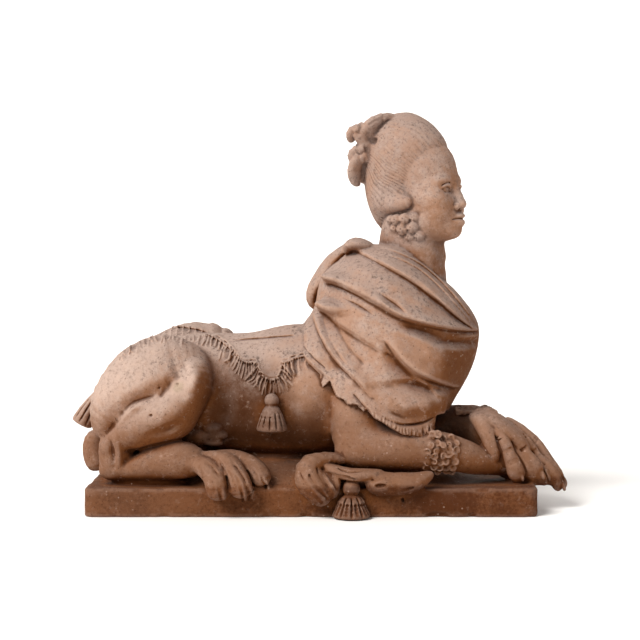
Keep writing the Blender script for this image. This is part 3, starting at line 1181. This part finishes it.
def ramp(value, low, high, to_low=0.0, to_high=1.0):
    node = put("MapRange", interpolation_type="SMOOTHSTEP")
    wire(value, node.inputs["Value"])
    for key, given in zip(("From Min", "From Max", "To Min", "To Max"), (low, high, to_low, to_high)):
        wire(given, node.inputs[key])
    return node.outputs["Result"]


def tint(under, over, share):
    node = put("Mix", data_type="RGBA")
    wire(share, node.inputs["Factor"])
    wire(under, node.inputs[6])
    wire(over, node.inputs[7])
    return node.outputs[2]


where = put("TexCoord").outputs["Object"]


def mottle(scale, detail, rough, offset=(0, 0, 0)):
    lay = put("Mapping")
    wire(where, lay.inputs["Vector"])
    lay.inputs["Location"].default_value = offset
    noise = put("TexNoise")
    wire(lay.outputs[0], noise.inputs["Vector"])
    noise.inputs["Scale"].default_value = scale
    noise.inputs["Detail"].default_value = detail
    noise.inputs["Roughness"].default_value = rough
    return noise.outputs["Fac"]


def spots_of(scale, size):
    cells = put("TexVoronoi")
    wire(where, cells.inputs["Vector"])
    cells.inputs["Scale"].default_value = scale
    return ramp(cells.outputs["Distance"], size * 0.5, size, 1.0, 0.0)


def near_spot(place, inner, outer):
    away = put("VectorMath", operation="DISTANCE")
    wire(where, away.inputs[0])
    away.inputs[1].default_value = place
    return ramp(away.outputs["Value"], inner, outer, 1.0, 0.0)


turned = put("NewGeometry")
normal = put("SeparateXYZ")
wire(turned.outputs["Normal"], normal.inputs[0])
place = put("SeparateXYZ")
wire(where, place.inputs[0])
up, along, z = normal.outputs["Z"], place.outputs["X"], place.outputs["Z"]

crease, hollow, groove = measure("crease"), measure("hollow"), measure("groove")
broad = mottle(5.0, 5.0, 0.65)
middle = mottle(22.0, 6.0, 0.7, offset=(3, 1, 7))
fine = mottle(140.0, 5.0, 0.75, offset=(9, 4, 2))
grain = mottle(520.0, 3.0, 0.7)
blotch = mottle(60.0, 5.0, 0.75, offset=(5, 8, 1))
PINK, PALE = (0.330, 0.178, 0.110, 1), (0.470, 0.330, 0.262, 1)
ORANGE, BROWN = (0.180, 0.060, 0.016, 1), (0.062, 0.017, 0.003, 1)
DUST, SOOT = (0.320, 0.243, 0.212, 1), (0.060, 0.046, 0.040, 1)
PLINTH, PLINTH_DARK = (0.140, 0.050, 0.018, 1), (0.066, 0.018, 0.004, 1)
LOWER, WASHED = (0.170, 0.077, 0.040, 1), (0.530, 0.390, 0.320, 1)
STAIN = (0.36, 0.27, 0.18, 1)


def faces(direction):
    """How squarely the surface faces this way."""
    node = put("VectorMath", operation="DOT_PRODUCT")
    wire(turned.outputs["Normal"], node.inputs[0])
    node.inputs[1].default_value = direction
    return node.outputs["Value"]


colour = tint(PINK, PALE, ramp(middle, 0.42, 0.70, 0.0, 0.8))
colour = tint(colour, ORANGE, times(ramp(broad, 0.46, 0.70), 0.30))
# the side that rain washes is paler
washed = times(ramp(drifting(faces((-0.52, -0.52, 0.66)), middle, 0.5), 0.25, 0.95), ramp(z, 0.14, 0.24))
washed = times(washed, ramp(along, -0.14, -0.02, 0.95, 0.22))
colour = tint(colour, WASHED, washed)
# lower down, and on the side that rain doesn't reach, the clay is less washed
low_part = ramp(drifting(z, broad, 0.20), 0.14, 0.31, 1.0, 0.0)
colour = tint(colour, LOWER, times(low_part, 0.78))
lee_part = times(ramp(faces((0.80, 0.10, -0.58)), -0.08, 0.50), ramp(z, 0.50, 0.62, 1.0, 0.25))
colour = tint(colour, ORANGE, times(lee_part, 0.92))
# the flank and belly, between thigh and elbow under the cloth, are the dirtiest
for spot, inner, outer, share in (
    ((-0.150, -0.110, 0.235), 0.065, 0.140, 0.98), ((-0.060, -0.100, 0.130), 0.050, 0.140, 0.85),
    ((0.020, -0.120, 0.190), 0.020, 0.070, 0.45), ((0.235, -0.050, 0.585), 0.045, 0.095, 0.30),
    ((0.340, -0.060, 0.330), 0.060, 0.140, 0.40)
):
    sheltered = times(near_spot(spot, inner, outer), ramp(middle, 0.25, 0.60, share, share * 0.8))
    colour = tint(colour, BROWN, sheltered)
# the plinth is browner than the figure
stand = ramp(drifting(z, middle, 0.02), 0.066, 0.078, 1.0, 0.0)
stand_colour = tint(PLINTH, PLINTH_DARK, ramp(drifting(broad, fine, 0.5), 0.38, 0.62))
stand_colour = tint(stand_colour, LOWER, ramp(plus(along, times(middle, 0.2)), -0.30, -0.05, 0.45, 0.0))
colour = tint(colour, stand_colour, times(stand, 0.96))
# dirt in the hollows, worn pale edges
colour = tint(colour, ORANGE, times(ramp(hollow, 0.24, 0.60), 0.90))
colour = tint(colour, BROWN, times(ramp(crease, 0.54, 0.76), 0.85))
colour = tint(colour, BROWN, times(ramp(hollow, 0.44, 0.85), 0.80))
colour = tint(colour, BROWN, times(ramp(groove, 0.56, 0.86), 0.80))
colour = tint(colour, PALE, times(ramp(groove, 0.45, 0.22), minus(0.45, times(low_part, 0.25))))
colour = tint(colour, PALE, times(ramp(crease, 0.42, 0.22), minus(0.32, times(low_part, 0.2))))
# dust and lichen on what faces up, and on hair and neck
dusty = times(ramp(drifting(up, middle, 1.8), -0.1, 0.85), ramp(z, 0.08, 0.45, 0.06, 1.0))
face_part = near_spot((0.318, -0.050, 0.672), 0.070, 0.115)
hair_dust = times(times(ramp(z, 0.565, 0.60), minus(1.0, face_part)), ramp(middle, 0.30, 0.62, 0.30, 0.9))
dusty = maths("MAXIMUM", dusty, hair_dust)
colour = tint(colour, DUST, times(dusty, 0.74))
# lichen specks, soot, brown stains, blotches, lime and rusty grains
specks = times(ramp(fine, 0.54, 0.66), ramp(dusty, 0.1, 0.8))
colour = tint(colour, SOOT, times(specks, 0.34))
soot = times(ramp(plus(middle, times(fine, 0.6)), 0.86, 1.0), ramp(up, 0.0, 0.6))
colour = tint(colour, SOOT, times(soot, 0.42))
stain = times(ramp(plus(fine, times(grain, 0.5)), 0.70, 0.92), ramp(middle, 0.35, 0.65, 0.15, 0.6))
colour = tint(colour, BROWN, times(stain, 0.55))
colour = tint(colour, BROWN, times(ramp(blotch, 0.54, 0.70), 0.24))
colour = tint(colour, PALE, times(ramp(blotch, 0.44, 0.30), minus(0.30, times(stand, 0.18))))
colour = tint(colour, PALE, times(spots_of(60.0, 0.16), times(ramp(broad, 0.45, 0.6), 0.4)))
colour = tint(colour, BROWN, times(spots_of(95.0, 0.13), 0.6))
# two ringed water stains on the thigh
for spot in ((-0.371, -0.155, 0.303), (-0.286, -0.178, 0.280)):
    ring = minus(near_spot(spot, 0.016, 0.023), near_spot(spot, 0.010, 0.016))
    colour = tint(colour, STAIN, times(near_spot(spot, 0.006, 0.018), 0.5))
    colour = tint(colour, PALE, times(ring, 0.5))
wire(colour, surface.inputs["Base Color"])
wire(ramp(fine, 0.3, 0.7, 0.78, 0.95), surface.inputs["Roughness"])

# the skin's relief: tool dabs, grog and pinholes
skin = plus(times(fine, 0.6), times(grain, 0.35))
skin = plus(skin, plus(times(middle, 0.9), times(blotch, 0.6)))
skin = minus(skin, times(spots_of(95.0, 0.16), 0.6))
bump = put("Bump")
bump.inputs["Strength"].default_value = 0.85
bump.inputs["Distance"].default_value = 0.0026
wire(skin, bump.inputs["Height"])
wire(bump.outputs[0], surface.inputs["Normal"])
whole.materials.append(clay_look)

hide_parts("sphinx")
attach(sphinx, "root")

# Floor: a plain pale studio floor that curves up into a wall far behind
bend = [(5.0 + 3 * math.sin(t), 3 - 3 * math.cos(t)) for t in np.linspace(0.1, 1.5, 14)]
sweep = [(-20.0, 0.0), (5.0, 0.0), *bend, (8.0, 3.0), (8.0, 14.0)]
floor_mesh = bpy.data.meshes.new("floor")
floor_mesh.from_pydata(
    [(x, y, z) for y, z in sweep for x in (-30.0, 30.0)],
    [],
    [(2 * i, 2 * i + 1, 2 * i + 3, 2 * i + 2) for i in range(len(sweep) - 1)]
)
floor_mesh.shade_smooth()
floor = bpy.data.objects.new("floor", floor_mesh)
bpy.context.collection.objects.link(floor)
floor_look = bpy.data.materials.new("pale_floor")
floor_look.use_nodes = True
floor_surface = floor_look.node_tree.nodes["Principled BSDF"]
floor_surface.inputs["Base Color"].default_value = (0.95, 0.95, 0.95, 1)
floor_surface.inputs["Roughness"].default_value = 0.9
floor_surface.inputs["Specular IOR Level"].default_value = 0.1
floor_mesh.materials.append(floor_look)

# Light: a broad soft light high on the left in front, and a pale room
world = bpy.data.worlds.new("room")
world.use_nodes = True
world.node_tree.nodes["Background"].inputs["Color"].default_value = (1.0, 0.955, 0.91, 1)
world.node_tree.nodes["Background"].inputs["Strength"].default_value = 0.42
bpy.context.scene.world = world
lamp = bpy.data.lights.new("key", "SUN")
lamp.angle = math.radians(30)
lamp.energy = 3.9
lamp.color = (1.0, 0.97, 0.93)
key = bpy.data.objects.new("key", lamp)
key.rotation_euler = Vector((0.68, 0.66, -0.80)).to_track_quat("-Z", "Y").to_euler()
bpy.context.collection.objects.link(key)
bpy.context.scene.view_settings.view_transform = "Standard"
